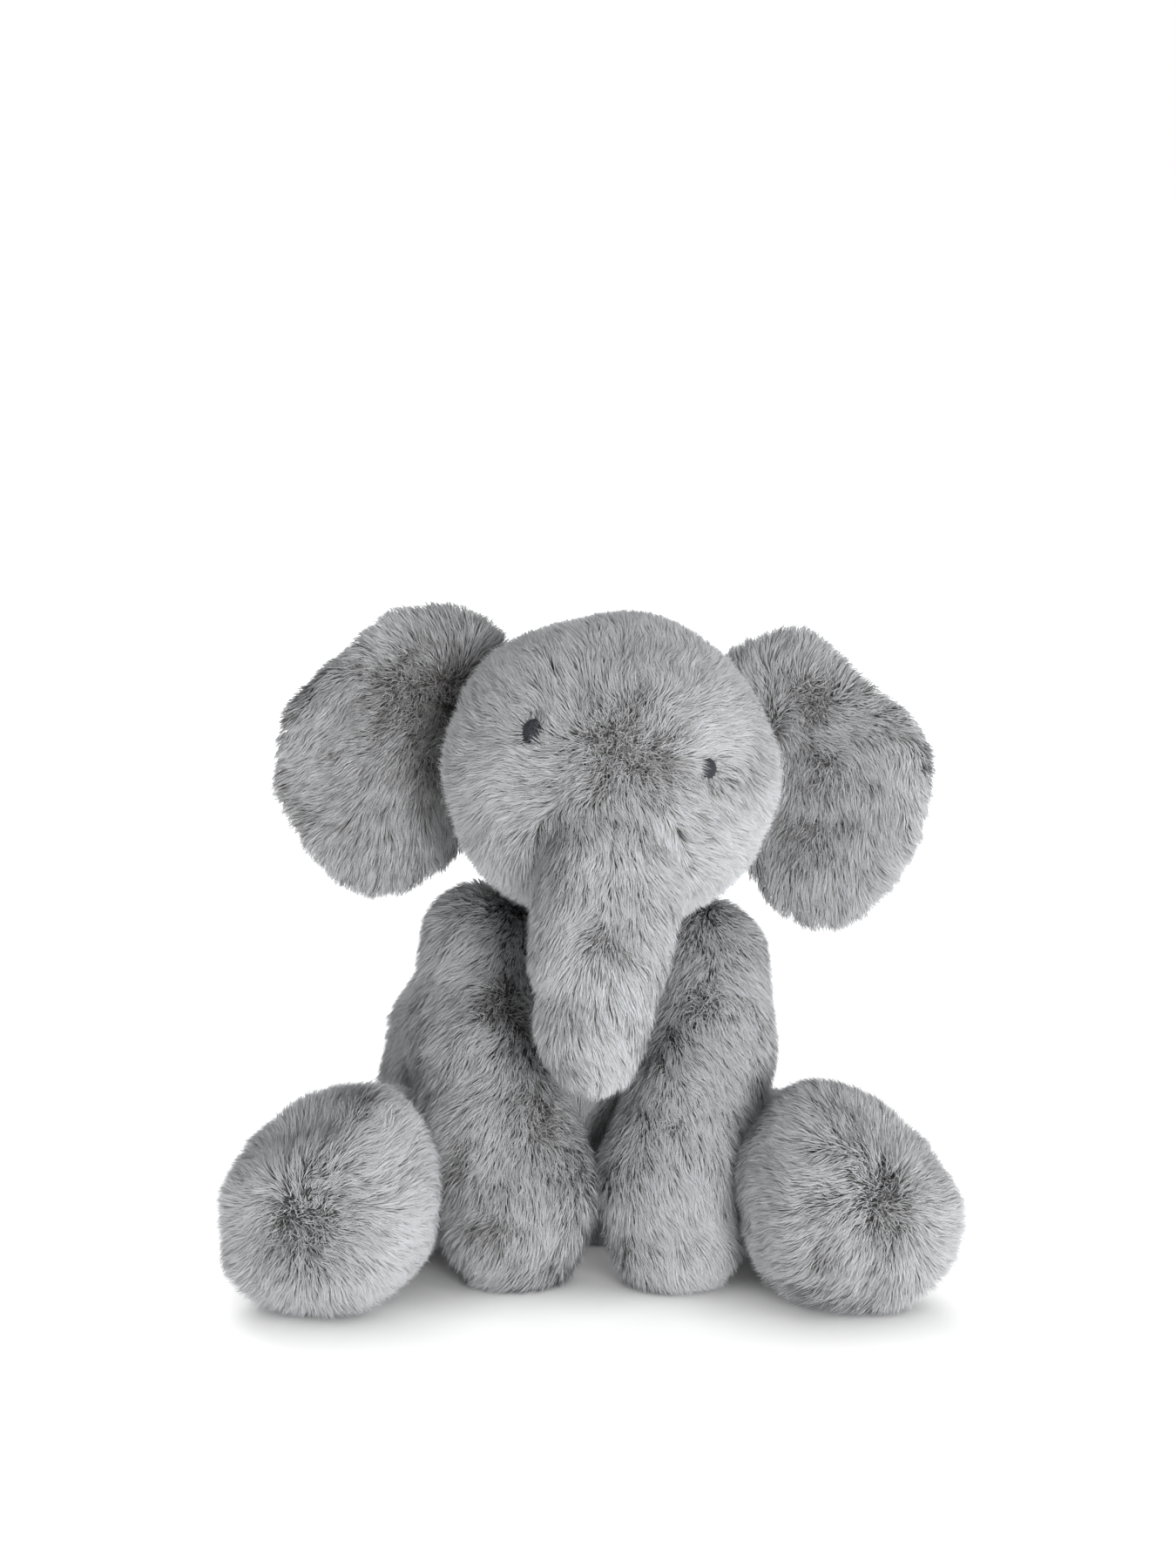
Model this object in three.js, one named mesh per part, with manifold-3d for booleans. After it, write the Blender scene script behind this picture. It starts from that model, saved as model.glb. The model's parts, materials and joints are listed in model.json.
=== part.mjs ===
// A sitting plush elephant, in millimetres. +Z is up, the face looks along -Y,
// and left and right are the elephant's own, so its right side is at -X.
// Every limb is a skin of sewn panels around a wad of stuffing, and the limbs
// that rest on the ground end in a bag of pellets. Fabric sizes are those of
// the cloth itself, without the pile that stands on it.
import * as THREE from "three";
import { mergeVertices } from "three/addons/utils/BufferGeometryUtils.js";
import Module from "manifold-3d";

const wasm = await Module();
wasm.setup();

// ---------------------------------------------------------------- dimensions

const CLOTH = 3;            // thickness of the plush cloth
const GAP = 0.3;            // space left at each seam and around each filling
const PLAY = 1.2;           // space left between parts that move
const FACET_ROOM = 1.045;   // how much wider a coarse ball is cut, to clear its flats
const FAR = 600;            // size of the blocks that cut the forms apart
const RING_SIDES = 12;
const HOLLOW_SIDES = 8;
const CAP_RINGS = 3;
const BALL_SIDES = 14;
const HEAD_SIDES = 20;
const HEAD_RINGS = 12;

const HEAD = {
  centre: [9.6, -30, 217],
  half: [66, 60, 63],
  tilt: 12,                 // degrees, the left cheek hangs lower
  gussetHalfWidth: 19,
  creaseHeight: -15,        // gusset above and chin below, where the trunk parts them
  backSeam: 22,
};

const EYE = { across: 36.5, up: 17, half: [4.4, 5.6], depth: 3.2 };

const NECK = { pivot: [3, 14, 160], radius: 25 };

const TORSO = {
  stations: [
    { at: [-5, 36, 22], wide: 72, deep: 50 },
    { at: [-6, 38, 52], wide: 84, deep: 56 },
    { at: [-6, 36, 90], wide: 80, deep: 51 },
    { at: [0, 30, 126], wide: 59, deep: 41 },
    { at: [3, 24, 144], wide: 38, deep: 31 },
  ],
  caps: [26, 11],
  frontSeam: 30,
  seatSeam: 15,
  pelletHeight: 42,
};

const TRUNK = {
  pivot: [9, -69, 195],
  stations: [
    { at: [9, -69, 195], wide: 28, deep: 28 },
    { at: [6, -81, 169], wide: 27.5, deep: 25 },
    { at: [3.5, -88, 143], wide: 24, deep: 22.5 },
  ],
  caps: [28, 6],
  swing: [-8, 40],
};

const TRUNK_TIP = {
  pivot: [3, -89, 131],
  stations: [
    { at: [3, -89, 131], wide: 21, deep: 21 },
    { at: [2, -89, 116], wide: 20, deep: 19 },
    { at: [1.5, -87, 105], wide: 16.5, deep: 15.5 },
  ],
  caps: [21, 8.5],
  patchHeight: 102,
};

const EARS = [
  { name: "right", side: -1, root: [-38.5, 13, 220.5], half: [45.5, 60], yaw: 6, roll: 2 },
  { name: "left", side: 1, root: [61, 13, 217.5], half: [42.5, 61], yaw: 14, roll: 8 },
];
const EAR = { thick: 6.5, cup: 13, shoulder: 0.28, rings: 4, sides: 18 };
const EAR_RADII = Array.from(
  { length: EAR.rings },
  (_, i) => Math.sin(((i + 1) / EAR.rings) * (Math.PI / 2)),
);

const ARMS = [
  {
    name: "right",
    side: -1,
    stations: [
      { at: [-45, -7, 140], wide: 23, deep: 23 },
      { at: [-47, -21, 108], wide: 26, deep: 24 },
      { at: [-41, -33, 74], wide: 29, deep: 25 },
      { at: [-31, -40, 36], wide: 30.5, deep: 27 },
      { at: [-31, -41, 20], wide: 28, deep: 25 },
    ],
  },
  {
    name: "left",
    side: 1,
    stations: [
      { at: [49, -7, 135], wide: 22, deep: 22 },
      { at: [51, -21, 106], wide: 25, deep: 24 },
      { at: [45, -34, 74], wide: 27.5, deep: 25 },
      { at: [36, -42.5, 36], wide: 27, deep: 25.5 },
      { at: [36, -43, 20], wide: 26, deep: 24 },
    ],
  },
];
const ARM = { caps: [22.5, 21], soleSeam: 13, pelletHeight: 34, swing: [0] };

const LEGS = [
  { name: "right", side: -1, sole: [-115, -95, 41.5] },
  { name: "left", side: 1, sole: [116, -94, 41.5] },
];
const LEG = {
  hip: [70, 26, 34],        // the left hip; the right one is its mirror image
  hipRadius: 28,
  ankle: { share: 0.42, wide: 24, deep: 38, height: 39 },
  foot: { share: 0.82, wide: 40.5, deep: 47, height: 45 },
  soleRing: { wide: 37.5, deep: 39.5 },
  solePuff: 11,
  soleSeam: 0.86,
  pelletSeam: 0.7,
  splay: [0, 26],
};

const TAIL = {
  pivot: [-5, 99, 60],
  stations: [
    { at: [-5, 99, 60], wide: 5, deep: 5 },
    { at: [-5, 104, 43], wide: 4.5, deep: 4.5 },
    { at: [-5, 105, 26], wide: 4.2, deep: 4.2 },
  ],
  caps: [5, 4],
  tuft: { top: 21, radius: 5.5, height: 15 },
};

// ----------------------------------------------------------------- materials

const CLOTH_GREY = 0x9c9ea1;
const FILLING_WHITE = 0xe9e7e1;
const PELLET_BEIGE = 0xcfc7b6;
const EYE_CHARCOAL = 0x2b2e33;

function fabric(color, roughness = 0.95) {
  return new THREE.MeshStandardMaterial({ color, roughness, metalness: 0 });
}

// ------------------------------------------------------------ geometry tools

const toVector = (list) => new THREE.Vector3(...list);
const mirrored = (list, side) => [list[0] * side, list[1], list[2]];

// A closed THREE geometry as a solid that can be cut and joined.
function toSolid(geometry) {
  const bare = geometry.clone();
  bare.deleteAttribute("normal");
  bare.deleteAttribute("uv");
  const merged = mergeVertices(bare, 1e-4);
  return new wasm.Manifold(new wasm.Mesh({
    numProp: 3,
    vertProperties: new Float32Array(merged.attributes.position.array),
    triVerts: new Uint32Array(merged.index.array),
  }));
}

function toGeometry(solid) {
  const mesh = solid.getMesh();
  const geometry = new THREE.BufferGeometry();
  geometry.setAttribute("position", new THREE.BufferAttribute(mesh.vertProperties, 3));
  geometry.setIndex(new THREE.BufferAttribute(mesh.triVerts, 1));
  geometry.computeVertexNormals();
  return geometry;
}

// Everything on the side of a plane that its normal points to.
function halfSpace(point, normal) {
  const block = new THREE.BoxGeometry(FAR, FAR, FAR);
  block.translate(0, 0, FAR / 2);
  const turn = new THREE.Quaternion().setFromUnitVectors(
    new THREE.Vector3(0, 0, 1),
    toVector(normal).normalize(),
  );
  block.applyQuaternion(turn);
  block.translate(...point);
  return toSolid(block);
}

// The two sides of a seam, half a gap back from it.
function seamSides(point, normal) {
  const unit = toVector(normal).normalize();
  const ahead = toVector(point).addScaledVector(unit, GAP / 2);
  const behind = toVector(point).addScaledVector(unit, -GAP / 2);
  return {
    front: halfSpace(ahead.toArray(), unit.toArray()),
    back: halfSpace(behind.toArray(), unit.clone().negate().toArray()),
  };
}

// Rings of points, closed by a point at each end, as one triangle mesh.
function ringsToGeometry(rings, startPoint, endPoint) {
  const sides = rings[0].length;
  const points = [startPoint, ...rings.flat(), endPoint];
  const last = points.length - 1;
  const index = [];
  for (let j = 0; j < sides; j += 1) {
    const k = (j + 1) % sides;
    index.push(0, 1 + k, 1 + j);
    for (let i = 0; i + 1 < rings.length; i += 1) {
      const a = 1 + i * sides;
      const b = a + sides;
      index.push(a + j, a + k, b + k, a + j, b + k, b + j);
    }
    const top = 1 + (rings.length - 1) * sides;
    index.push(last, top + j, top + k);
  }
  const geometry = new THREE.BufferGeometry();
  geometry.setAttribute("position", new THREE.Float32BufferAttribute(
    points.flatMap((point) => point.toArray()),
    3,
  ));
  geometry.setIndex(index);
  return geometry;
}

// A stuffed tube: elliptical sections along a smooth line, rounded at both ends.
// grow moves the whole surface outwards, and a negative grow makes the lining.
// Fewer sides than usual are laid around the ellipse, not inside it.
function tube({ stations, caps }, grow = 0, across = [1, 0, 0], sides = RING_SIDES) {
  const around = sides < RING_SIDES ? 1 / Math.cos(Math.PI / sides) : 1;
  const line = new THREE.CatmullRomCurve3(stations.map(({ at }) => toVector(at)));
  const sizes = new THREE.CatmullRomCurve3(stations.map(
    ({ wide, deep }) => new THREE.Vector3((wide + grow) * around, (deep + grow) * around, 0),
  ));
  const steps = stations.length - 1;
  const ringAt = (centre, direction, wide, deep) => {
    const side = toVector(across).addScaledVector(direction, -toVector(across).dot(direction));
    side.normalize();
    const up = new THREE.Vector3().crossVectors(direction, side);
    return Array.from({ length: sides }, (_, j) => {
      const angle = (2 * Math.PI * j) / sides;
      return centre.clone()
        .addScaledVector(side, wide * Math.cos(angle))
        .addScaledVector(up, deep * Math.sin(angle));
    });
  };
  const capRings = (t, sign, length) => {
    const direction = line.getTangent(t);
    const size = sizes.getPoint(t);
    return Array.from({ length: CAP_RINGS }, (_, i) => {
      const angle = ((i + 1) / (CAP_RINGS + 1)) * (Math.PI / 2);
      const centre = line.getPoint(t).addScaledVector(direction, sign * length * Math.sin(angle));
      return ringAt(centre, direction, size.x * Math.cos(angle), size.y * Math.cos(angle));
    });
  };
  const [startCap, endCap] = caps.map((length) => length + grow);
  const body = Array.from({ length: steps + 1 }, (_, i) => {
    const size = sizes.getPoint(i / steps);
    return ringAt(line.getPoint(i / steps), line.getTangent(i / steps), size.x, size.y);
  });
  const startPoint = line.getPoint(0).addScaledVector(line.getTangent(0), -startCap);
  const endPoint = line.getPoint(1).addScaledVector(line.getTangent(1), endCap);
  const rings = [...capRings(0, -1, startCap).reverse(), ...body, ...capRings(1, 1, endCap)];
  return ringsToGeometry(rings, startPoint, endPoint);
}

function ball(centre, radius) {
  const geometry = new THREE.SphereGeometry(radius, BALL_SIDES, BALL_SIDES / 2);
  return toSolid(geometry.translate(...centre));
}

// The hollow that a ball turns in.
const socket = (centre, radius) => ball(centre, (radius + PLAY) * FACET_ROOM);

// The solid turned about a line through pivot by each of the angles, joined.
function swept(geometry, pivot, axis, degrees) {
  const unit = toVector(axis).normalize();
  return degrees
    .map((angle) => {
      const turned = geometry.clone().translate(...pivot.map((value) => -value));
      turned.applyQuaternion(
        new THREE.Quaternion().setFromAxisAngle(unit, THREE.MathUtils.degToRad(angle)),
      );
      return toSolid(turned.translate(...pivot));
    })
    .reduce((all, next) => all.add(next));
}

// ------------------------------------------------------------------ assembly

const elephant = new THREE.Group();

function addPiece(name, shape, material) {
  const geometry = shape.isBufferGeometry ? shape : toGeometry(shape);
  const mesh = new THREE.Mesh(geometry, material);
  mesh.name = name;
  elephant.add(mesh);
}

const ABOVE_GROUND = halfSpace([0, 0, 0], [0, 0, 1]);
const ABOVE_CLOTH = halfSpace([0, 0, CLOTH], [0, 0, 1]);
const ABOVE_LINING = halfSpace([0, 0, CLOTH + GAP], [0, 0, 1]);

// The cloth skin of a form, and the space that its filling takes up.
function skinAndFilling(grown) {
  const skin = toSolid(grown(0)).intersect(ABOVE_GROUND)
    .subtract(toSolid(grown(-CLOTH)).intersect(ABOVE_CLOTH));
  const filling = toSolid(grown(-CLOTH - GAP)).intersect(ABOVE_LINING);
  return { skin, filling };
}

// The axes that the arms and legs swing about, shared with the joints' hollows.
const armAxis = (side) => [-1, -0.15 * side, 0];
const legAxis = (side) => [0, 0, side];
const TRUNK_AXIS = [-1, 0, 0];

function armShape(arm) {
  return { stations: arm.stations, caps: ARM.caps };
}

function legShape({ side, sole }) {
  const hip = toVector(mirrored(LEG.hip, side));
  const end = toVector(sole);
  const stationAt = ({ share, wide, deep, height }) => {
    const at = hip.clone().lerp(end, share);
    at.z = height;
    return { at: at.toArray(), wide, deep };
  };
  return {
    stations: [
      { at: hip.toArray(), wide: LEG.hipRadius, deep: LEG.hipRadius },
      stationAt(LEG.ankle),
      stationAt(LEG.foot),
      { at: sole, ...LEG.soleRing },
    ],
    caps: [LEG.hipRadius, LEG.solePuff],
  };
}

function legAcross({ side, sole }) {
  const along = toVector(sole).sub(toVector(mirrored(LEG.hip, side)));
  return new THREE.Vector3(-along.y, along.x, 0).normalize().toArray();
}

// Arms: a front and a back panel, a sole under the paw, filling and pellets.
function addArm(arm) {
  const shape = armShape(arm);
  const { skin, filling } = skinAndFilling((grow) => tube(shape, grow));
  const shoulder = toVector(arm.stations[0].at);
  const paw = toVector(arm.stations.at(-1).at);
  const outward = new THREE.Vector3().crossVectors(
    new THREE.Vector3().subVectors(paw, shoulder),
    new THREE.Vector3(1, 0, 0),
  );
  const faceSeam = seamSides(shoulder.toArray(), outward.toArray());
  const soleSeam = seamSides([0, 0, ARM.soleSeam], [0, 0, 1]);
  const pelletSeam = seamSides([0, 0, ARM.pelletHeight], [0, 0, 1]);
  const sleeve = skin.intersect(soleSeam.front);
  addPiece(`arm_front_panel_${arm.name}`, sleeve.intersect(faceSeam.front), fabric(CLOTH_GREY));
  addPiece(`arm_back_panel_${arm.name}`, sleeve.intersect(faceSeam.back), fabric(CLOTH_GREY));
  addPiece(`paw_sole_${arm.name}`, skin.intersect(soleSeam.back), fabric(CLOTH_GREY));
  addPiece(`arm_stuffing_${arm.name}`, filling.intersect(pelletSeam.front), fabric(FILLING_WHITE));
  addPiece(`paw_pellet_bag_${arm.name}`, filling.intersect(pelletSeam.back), fabric(PELLET_BEIGE));
}

// Legs: a top and an under panel, a round sole, filling and pellets in the foot.
function addLeg(leg) {
  const shape = legShape(leg);
  const across = legAcross(leg);
  const { skin, filling } = skinAndFilling((grow) => tube(shape, grow, across));
  const hip = toVector(mirrored(LEG.hip, leg.side));
  const sole = toVector(leg.sole);
  const along = new THREE.Vector3().subVectors(sole, hip);
  const upward = new THREE.Vector3().crossVectors(toVector(across), along);
  const seamAt = (share) => seamSides(hip.clone().lerp(sole, share).toArray(), along.toArray());
  const sideSeam = seamSides(hip.toArray(), upward.multiplyScalar(Math.sign(upward.z)).toArray());
  const soleSeam = seamAt(LEG.soleSeam);
  const pelletSeam = seamAt(LEG.pelletSeam);
  const sleeve = skin.intersect(soleSeam.back);
  addPiece(`leg_top_panel_${leg.name}`, sleeve.intersect(sideSeam.front), fabric(CLOTH_GREY));
  addPiece(`leg_under_panel_${leg.name}`, sleeve.intersect(sideSeam.back), fabric(CLOTH_GREY));
  addPiece(`foot_sole_${leg.name}`, skin.intersect(soleSeam.front), fabric(CLOTH_GREY));
  addPiece(`leg_stuffing_${leg.name}`, filling.intersect(pelletSeam.back), fabric(FILLING_WHITE));
  addPiece(`foot_pellet_bag_${leg.name}`, filling.intersect(pelletSeam.front), fabric(PELLET_BEIGE));
}

// The space that the arms, legs and neck need in the torso.
function torsoHollows() {
  const arms = ARMS.map((arm) => swept(
    tube(armShape(arm), PLAY, [1, 0, 0], HOLLOW_SIDES),
    arm.stations[0].at,
    armAxis(arm.side),
    ARM.swing,
  ));
  const legs = LEGS.map((leg) => swept(
    tube(legShape(leg), PLAY, legAcross(leg), HOLLOW_SIDES),
    mirrored(LEG.hip, leg.side),
    legAxis(leg.side),
    LEG.splay,
  ));
  return [...arms, ...legs, socket(NECK.pivot, NECK.radius)]
    .reduce((all, next) => all.add(next));
}

function addTorso() {
  const { skin, filling } = skinAndFilling((grow) => tube(TORSO, grow));
  const hollows = torsoHollows();
  const sleeve = skin.subtract(hollows);
  const wad = filling.subtract(hollows);
  const seatSeam = seamSides([0, 0, TORSO.seatSeam], [0, 0, 1]);
  const pelletSeam = seamSides([0, 0, TORSO.pelletHeight], [0, 0, 1]);
  const bellySeam = seamSides([0, TORSO.frontSeam, 0], [0, 1, 0]);
  const spineSeam = seamSides(TORSO.stations[1].at, [1, 0, 0]);
  const above = sleeve.intersect(seatSeam.front);
  const back = above.intersect(bellySeam.front);
  addPiece("belly_panel", above.intersect(bellySeam.back), fabric(CLOTH_GREY));
  addPiece("back_panel_left", back.intersect(spineSeam.front), fabric(CLOTH_GREY));
  addPiece("back_panel_right", back.intersect(spineSeam.back), fabric(CLOTH_GREY));
  addPiece("seat_panel", sleeve.intersect(seatSeam.back), fabric(CLOTH_GREY));
  addPiece("torso_stuffing", wad.intersect(pelletSeam.front), fabric(FILLING_WHITE));
  addPiece("seat_pellet_bag", wad.intersect(pelletSeam.back), fabric(PELLET_BEIGE));
}

// The head, tilted as a whole, with its panels cut in its own upright frame.
function addHead() {
  const tilt = new THREE.Quaternion().setFromAxisAngle(
    new THREE.Vector3(0, 1, 0),
    THREE.MathUtils.degToRad(HEAD.tilt),
  );
  const placed = (geometry) => geometry.applyQuaternion(tilt).translate(...HEAD.centre);
  const point = (local) => toVector(local).applyQuaternion(tilt).add(toVector(HEAD.centre)).toArray();
  const direction = (local) => toVector(local).applyQuaternion(tilt).toArray();
  const form = (grow) => {
    const sphere = new THREE.SphereGeometry(1, HEAD_SIDES, HEAD_RINGS);
    return toSolid(placed(sphere.scale(...HEAD.half.map((half) => half + grow))));
  };
  const hollows = socket(NECK.pivot, NECK.radius)
    .add(swept(
      tube(TRUNK, PLAY, [1, 0, 0], HOLLOW_SIDES),
      TRUNK.pivot,
      TRUNK_AXIS,
      TRUNK.swing,
    ))
    .add(EARS.map((ear) => toSolid(earForm(ear, PLAY))).reduce((all, next) => all.add(next)));
  const skin = form(0).subtract(form(-CLOTH)).subtract(hollows);
  const filling = form(-CLOTH - GAP).subtract(hollows);
  const backSeam = seamSides(point([0, HEAD.backSeam, 0]), direction([0, 1, 0]));
  const rightSeam = seamSides(point([-HEAD.gussetHalfWidth, 0, 0]), direction([1, 0, 0]));
  const leftSeam = seamSides(point([HEAD.gussetHalfWidth, 0, 0]), direction([-1, 0, 0]));
  const crease = seamSides(point([0, 0, HEAD.creaseHeight]), direction([0, 0, 1]));
  const face = skin.intersect(backSeam.back);
  const middle = face.intersect(rightSeam.front).intersect(leftSeam.front);
  addPiece("forehead_gusset", middle.intersect(crease.front), fabric(CLOTH_GREY));
  addPiece("chin_panel", middle.intersect(crease.back), fabric(CLOTH_GREY));
  addPiece("cheek_panel_right", face.intersect(rightSeam.back), fabric(CLOTH_GREY));
  addPiece("cheek_panel_left", face.intersect(leftSeam.back), fabric(CLOTH_GREY));
  addPiece("head_back_panel", skin.intersect(backSeam.front), fabric(CLOTH_GREY));
  addPiece("head_stuffing", filling, fabric(FILLING_WHITE));
  for (const [name, side] of [["right", -1], ["left", 1]]) {
    const eye = toSolid(placed(eyeForm(side))).subtract(form(GAP));
    addPiece(`eye_${name}`, eye, fabric(EYE_CHARCOAL, 0.7));
  }
}

// A padded satin-stitched oval, half sunk in the cheek that it is then cut by.
function eyeForm(side) {
  const [halfX, halfY, halfZ] = HEAD.half;
  const across = (EYE.across * side) / halfX;
  const up = EYE.up / halfZ;
  const ahead = -Math.sqrt(1 - across * across - up * up);
  const normal = new THREE.Vector3(across / halfX, ahead / halfY, up / halfZ).normalize();
  const turn = new THREE.Quaternion().setFromUnitVectors(new THREE.Vector3(0, -1, 0), normal);
  const pad = new THREE.SphereGeometry(1, 10, 6);
  pad.scale(EYE.half[0], EYE.depth, EYE.half[1]);
  const seat = new THREE.Vector3(across * halfX, ahead * halfY, up * halfZ);
  return pad.applyQuaternion(turn).translate(...seat.toArray());
}

// One layer of an ear: the space between two heights over a round, cupped plate.
// The plate's inner edge is at its root, where its upper corner is squared, and
// its rim leans towards the face.
function earLayer(ear, frontOf, backOf, radii = EAR_RADII) {
  const [halfWide, halfHigh] = ear.half;
  const place = (rho, angle, height) => {
    const along = rho * Math.cos(angle);
    const cupped = -EAR.cup * Math.max(0, (along + 1) / 2) ** 2 * rho;
    const up = rho * Math.sin(angle);
    const shoulder = 1 + EAR.shoulder * Math.max(0, -along) * Math.max(0, up);
    return new THREE.Vector3(
      ear.side * halfWide * (1 + along),
      cupped + height,
      halfHigh * up * shoulder,
    );
  };
  const ringAt = (rho, heightOf) => Array.from({ length: EAR.sides }, (_, j) => {
    const angle = (-ear.side * 2 * Math.PI * j) / EAR.sides;
    return place(rho, angle, heightOf(rho));
  });
  const rim = radii.at(-1);
  const meetsAtRim = frontOf(rim) === backOf(rim);
  const fronts = radii.map((rho) => ringAt(rho, frontOf));
  const backs = radii.slice(0, meetsAtRim ? -1 : undefined).reverse()
    .map((rho) => ringAt(rho, backOf));
  const geometry = ringsToGeometry(
    [...fronts, ...backs],
    place(0, 0, frontOf(0)),
    place(0, 0, backOf(0)),
  );
  geometry.rotateY(THREE.MathUtils.degToRad(ear.roll));
  geometry.rotateZ(THREE.MathUtils.degToRad(-ear.yaw * ear.side));
  return geometry.translate(...ear.root);
}

const earThickness = (rho) => EAR.thick * Math.sqrt(Math.max(0, 1 - rho ** 4));

function earForm(ear, grow) {
  const grown = { ...ear, half: ear.half.map((half) => half + grow) };
  return earLayer(
    grown,
    (rho) => -earThickness(rho) - grow,
    (rho) => earThickness(rho) + grow,
  );
}

// Ears: a front and a back panel sewn at the rim, with a thin batting between.
function addEar(ear) {
  const half = GAP / 2;
  const outer = (rho) => Math.max(half, earThickness(rho));
  const inner = (rho) => Math.max(half, earThickness(rho) - CLOTH);
  const batting = (rho) => earThickness(rho) - CLOTH - GAP;
  const battingRadii = EAR_RADII.filter((rho) => batting(rho) > GAP);
  const front = earLayer(ear, (rho) => -outer(rho), (rho) => -inner(rho));
  const back = earLayer(ear, inner, outer);
  const filling = earLayer(ear, (rho) => -batting(rho), batting, battingRadii);
  addPiece(`ear_front_panel_${ear.name}`, front, fabric(CLOTH_GREY));
  addPiece(`ear_back_panel_${ear.name}`, back, fabric(CLOTH_GREY));
  addPiece(`ear_batting_${ear.name}`, filling, fabric(FILLING_WHITE));
}

// Trunk: two lengths, each of a left and a right panel around its own wad.
function addTrunk() {
  const tipHollow = socket(TRUNK_TIP.pivot, TRUNK_TIP.caps[0]);
  const upper = skinAndFilling((grow) => tube(TRUNK, grow));
  const lower = skinAndFilling((grow) => tube(TRUNK_TIP, grow));
  const middle = (trunk) => seamSides([trunk.pivot[0], 0, 0], [1, 0, 0]);
  const upperSeam = middle(TRUNK);
  const lowerSeam = middle(TRUNK_TIP);
  const patchSeam = seamSides([0, 0, TRUNK_TIP.patchHeight], [0, 0, 1]);
  const upperSkin = upper.skin.subtract(tipHollow);
  const lowerSkin = lower.skin.intersect(patchSeam.front);
  addPiece("trunk_panel_left", upperSkin.intersect(upperSeam.front), fabric(CLOTH_GREY));
  addPiece("trunk_panel_right", upperSkin.intersect(upperSeam.back), fabric(CLOTH_GREY));
  addPiece("trunk_stuffing", upper.filling.subtract(tipHollow), fabric(FILLING_WHITE));
  addPiece("trunk_tip_panel_left", lowerSkin.intersect(lowerSeam.front), fabric(CLOTH_GREY));
  addPiece("trunk_tip_panel_right", lowerSkin.intersect(lowerSeam.back), fabric(CLOTH_GREY));
  addPiece("trunk_end_patch", lower.skin.intersect(patchSeam.back), fabric(CLOTH_GREY));
  addPiece("trunk_tip_stuffing", lower.filling, fabric(FILLING_WHITE));
}

// Tail: a rolled strip of cloth with a tuft of longer pile at its end.
function addTail() {
  const { top, radius, height } = TAIL.tuft;
  const strip = toSolid(tube(TAIL)).intersect(halfSpace([0, 0, top + GAP], [0, 0, 1]));
  const end = TAIL.stations.at(-1).at;
  const profile = [[0, 0], [0.7, 0.12], [1, 0.4], [0.8, 0.75], [0.5, 1], [0, 1]]
    .map(([r, z]) => new THREE.Vector2(r * radius, top - height + z * height));
  const tuft = new THREE.LatheGeometry(profile, 12);
  tuft.rotateX(Math.PI / 2).translate(end[0], end[1], 0);
  addPiece("tail_strip", strip, fabric(CLOTH_GREY));
  addPiece("tail_tuft", toSolid(tuft), fabric(CLOTH_GREY));
}

elephant.name = "elephant";
addTorso();
addPiece("neck_stuffing", ball(NECK.pivot, NECK.radius), fabric(FILLING_WHITE));
addHead();
EARS.forEach(addEar);
addTrunk();
ARMS.forEach(addArm);
LEGS.forEach(addLeg);
addTail();

// The origin is the middle of the footprint, on the ground.
const extent = new THREE.Box3().setFromObject(elephant);
const middle = extent.getCenter(new THREE.Vector3());
elephant.position.set(-middle.x, -middle.y, -extent.min.z);

export default elephant;
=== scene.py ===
"""A sitting plush elephant: stuffed skins and a combed pile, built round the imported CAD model.

Lengths are in metres and angles in degrees. The face looks along -Y, and left and right
are the elephant's own. Each CAD body gets one stuffed skin, made from its panels and
filling. The head, the trunk and the trunk's end share one, which is then cut in three.
Each sewn panel gets its own piece of pile: thin tapered ribbons that start on the skin,
follow a flow field and gather into tufts.
"""

import json
import math
from dataclasses import dataclass, field

import bmesh
import bpy
import numpy as np
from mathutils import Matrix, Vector
from mathutils.bvhtree import BVHTree

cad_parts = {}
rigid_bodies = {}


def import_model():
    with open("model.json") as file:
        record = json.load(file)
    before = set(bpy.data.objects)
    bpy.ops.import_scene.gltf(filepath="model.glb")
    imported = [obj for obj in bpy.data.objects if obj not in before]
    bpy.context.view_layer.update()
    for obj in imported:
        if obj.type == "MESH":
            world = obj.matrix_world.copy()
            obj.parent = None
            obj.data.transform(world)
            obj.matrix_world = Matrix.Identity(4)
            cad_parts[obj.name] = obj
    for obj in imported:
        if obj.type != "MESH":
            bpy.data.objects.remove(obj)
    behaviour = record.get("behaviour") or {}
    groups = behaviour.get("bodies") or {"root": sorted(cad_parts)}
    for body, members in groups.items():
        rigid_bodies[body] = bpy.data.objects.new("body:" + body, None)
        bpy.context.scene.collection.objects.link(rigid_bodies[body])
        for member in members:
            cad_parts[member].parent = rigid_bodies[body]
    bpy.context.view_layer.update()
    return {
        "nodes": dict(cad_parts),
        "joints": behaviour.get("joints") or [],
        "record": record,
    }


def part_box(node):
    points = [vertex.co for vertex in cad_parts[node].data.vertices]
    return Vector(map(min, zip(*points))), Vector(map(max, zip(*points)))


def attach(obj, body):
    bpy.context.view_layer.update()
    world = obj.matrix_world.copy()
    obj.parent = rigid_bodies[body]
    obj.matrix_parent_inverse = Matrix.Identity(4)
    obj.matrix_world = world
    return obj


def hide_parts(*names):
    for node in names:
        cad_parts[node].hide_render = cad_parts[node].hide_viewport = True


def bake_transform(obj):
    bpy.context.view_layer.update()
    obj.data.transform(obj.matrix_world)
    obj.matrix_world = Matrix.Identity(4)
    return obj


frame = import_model()

# ------------------------------------------------------------------ settings

MM = 0.001
SEED = 11

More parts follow.
